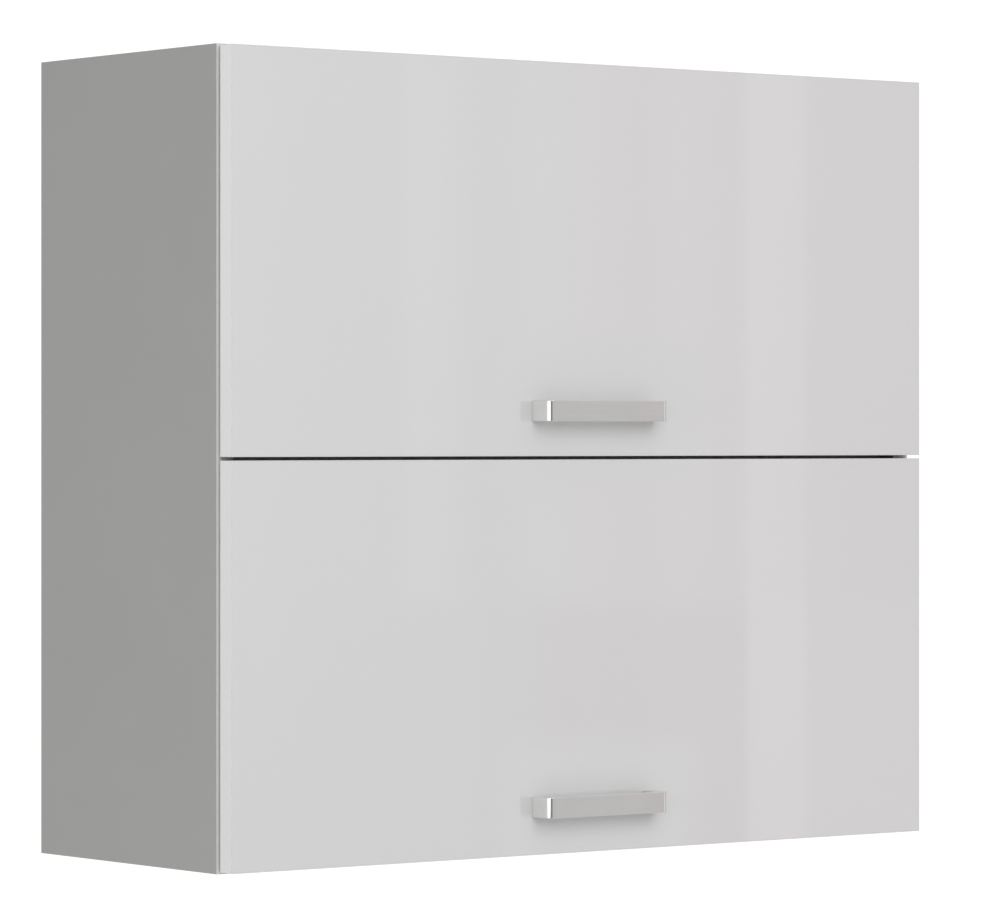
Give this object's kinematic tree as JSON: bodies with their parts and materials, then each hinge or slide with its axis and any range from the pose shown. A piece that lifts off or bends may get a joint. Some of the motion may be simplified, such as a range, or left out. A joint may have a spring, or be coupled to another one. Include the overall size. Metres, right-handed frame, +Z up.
{
  "type": "kitchen wall cabinet",
  "caption": "Grey wall cabinet with high-gloss lift-up flap fronts stacked one above the other, chrome bow handles, concealed cup hinges, sprung lift units and wall hangers.",
  "frame": {"origin": "on the plane of the underside, below the middle of the whole object with its fronts and handles", "axes": "+X across the width to the right as seen from the front, +Y from the fronts to the wall, +Z up"},
  "size_m": [0.8, 0.329, 0.72],
  "materials": {
    "corpus_board": "matte grey melamine on particle board",
    "corpus_edge": "matte grey edge band",
    "back_board": "smooth grey faced fibreboard",
    "dowel_wood": "raw beech",
    "zinc_die_cast": "die cast",
    "cap_plastic": "matte",
    "front_gloss": "light grey high gloss",
    "front_edge": "light grey gloss edge band",
    "handle_chrome": "polished",
    "buffer_rubber": "clear soft",
    "unit_plastic": "moulded grey",
    "unit_cover_plastic": "moulded grey",
    "spring_steel": "oiled",
    "hanger_plastic": "moulded off-white",
    "zinc_plated_steel": "zinc plated",
    "screw_steel": "zinc plated",
    "pin_steel": "ground",
    "nickel_steel": "nickel plated"
  },
  "bodies": {
    "corpus": {"left_side_panel": "corpus_board", "right_side_panel": "corpus_board", "top_panel": "corpus_board", "bottom_panel": "corpus_board", "middle_shelf": "corpus_board", "back_panel": "back_board", "corpus_edge_bands": "corpus_edge", "wooden_dowels": "dowel_wood", "cam_locks": "zinc_die_cast", "cam_bolts": "screw_steel", "cam_cover_caps": "cap_plastic", "upper_hinge_plates": "nickel_steel", "lower_hinge_plates": "nickel_steel", "hinge_plate_screws": "screw_steel", "hinge_arms": "nickel_steel", "hinge_arm_pins": "pin_steel", "hinge_clamp_screws": "screw_steel", "hinge_adjusting_screws": "screw_steel", "lift_unit_bases": "unit_plastic", "lift_unit_covers": "unit_cover_plastic", "lift_unit_springs": "spring_steel", "lift_unit_screws": "screw_steel", "hanger_housings": "hanger_plastic", "hanger_hooks": "zinc_plated_steel", "hanger_adjusting_screws": "screw_steel", "hanger_fixing_screws": "screw_steel"},
    "upper_hinge_link": {"upper_hinge_links": "nickel_steel"},
    "upper_flap": {"upper_front": "front_gloss", "upper_front_edge_bands": "front_edge", "upper_handle": "handle_chrome", "upper_handle_screws": "screw_steel", "upper_hinge_cups": "nickel_steel", "upper_hinge_cup_pins": "pin_steel", "upper_hinge_cup_screws": "screw_steel", "upper_lift_brackets": "zinc_plated_steel", "upper_lift_bracket_pins": "pin_steel", "upper_lift_bracket_screws": "screw_steel", "upper_front_buffers": "buffer_rubber"},
    "upper_lift_lever": {"upper_lift_levers": "zinc_plated_steel", "upper_lift_axles": "pin_steel", "upper_knee_pins": "pin_steel"},
    "upper_lift_rod": {"upper_lift_rods": "zinc_plated_steel"},
    "lower_hinge_link": {"lower_hinge_links": "nickel_steel"},
    "lower_flap": {"lower_front": "front_gloss", "lower_front_edge_bands": "front_edge", "lower_handle": "handle_chrome", "lower_handle_screws": "screw_steel", "lower_hinge_cups": "nickel_steel", "lower_hinge_cup_pins": "pin_steel", "lower_hinge_cup_screws": "screw_steel", "lower_lift_brackets": "zinc_plated_steel", "lower_lift_bracket_pins": "pin_steel", "lower_lift_bracket_screws": "screw_steel", "lower_front_buffers": "buffer_rubber"},
    "lower_lift_lever": {"lower_lift_levers": "zinc_plated_steel", "lower_lift_axles": "pin_steel", "lower_knee_pins": "pin_steel"},
    "lower_lift_rod": {"lower_lift_rods": "zinc_plated_steel"}
  },
  "joints": [
    {"name": "upper_hinge_arm_pivot", "type": "hinge", "parent": "corpus", "child": "upper_hinge_link", "pos_m": [0, -0.1045, 0.6825], "axis": [1, 0, 0], "range_deg": [0, 26.6]},
    {"name": "upper_flap_lift", "type": "hinge", "parent": "upper_hinge_link", "child": "upper_flap", "pos_m": [0, -0.1283, 0.7072], "axis": [-1, 0, 0], "range_deg": [0, 116.55]},
    {"name": "upper_lift_lever_pivot", "type": "hinge", "parent": "corpus", "child": "upper_lift_lever", "pos_m": [0, -0.0285, 0.6265], "axis": [-1, 0, 0], "range_deg": [0, 90.7]},
    {"name": "upper_lift_rod_pivot", "type": "hinge", "parent": "upper_flap", "child": "upper_lift_rod", "pos_m": [0, -0.1065, 0.6285], "axis": [1, 0, 0], "range_deg": [0, 98.5]},
    {"name": "lower_hinge_arm_pivot", "type": "hinge", "parent": "corpus", "child": "lower_hinge_link", "pos_m": [0, -0.1045, 0.3225], "axis": [1, 0, 0], "range_deg": [0, 26.6]},
    {"name": "lower_flap_lift", "type": "hinge", "parent": "lower_hinge_link", "child": "lower_flap", "pos_m": [0, -0.1283, 0.3472], "axis": [-1, 0, 0], "range_deg": [0, 116.55]},
    {"name": "lower_lift_lever_pivot", "type": "hinge", "parent": "corpus", "child": "lower_lift_lever", "pos_m": [0, -0.0285, 0.2665], "axis": [-1, 0, 0], "range_deg": [0, 90.7]},
    {"name": "lower_lift_rod_pivot", "type": "hinge", "parent": "lower_flap", "child": "lower_lift_rod", "pos_m": [0, -0.1065, 0.2685], "axis": [1, 0, 0], "range_deg": [0, 98.5]}
  ],
  "couplings": [
    {"joint": "upper_hinge_arm_pivot", "follows": "upper_flap_lift", "ratio": 0.2278},
    {"joint": "upper_lift_lever_pivot", "follows": "upper_flap_lift", "ratio": 0.77799},
    {"joint": "upper_lift_rod_pivot", "follows": "upper_flap_lift", "ratio": 0.84486},
    {"joint": "lower_hinge_arm_pivot", "follows": "lower_flap_lift", "ratio": 0.2278},
    {"joint": "lower_lift_lever_pivot", "follows": "lower_flap_lift", "ratio": 0.77799},
    {"joint": "lower_lift_rod_pivot", "follows": "lower_flap_lift", "ratio": 0.84486}
  ]
}
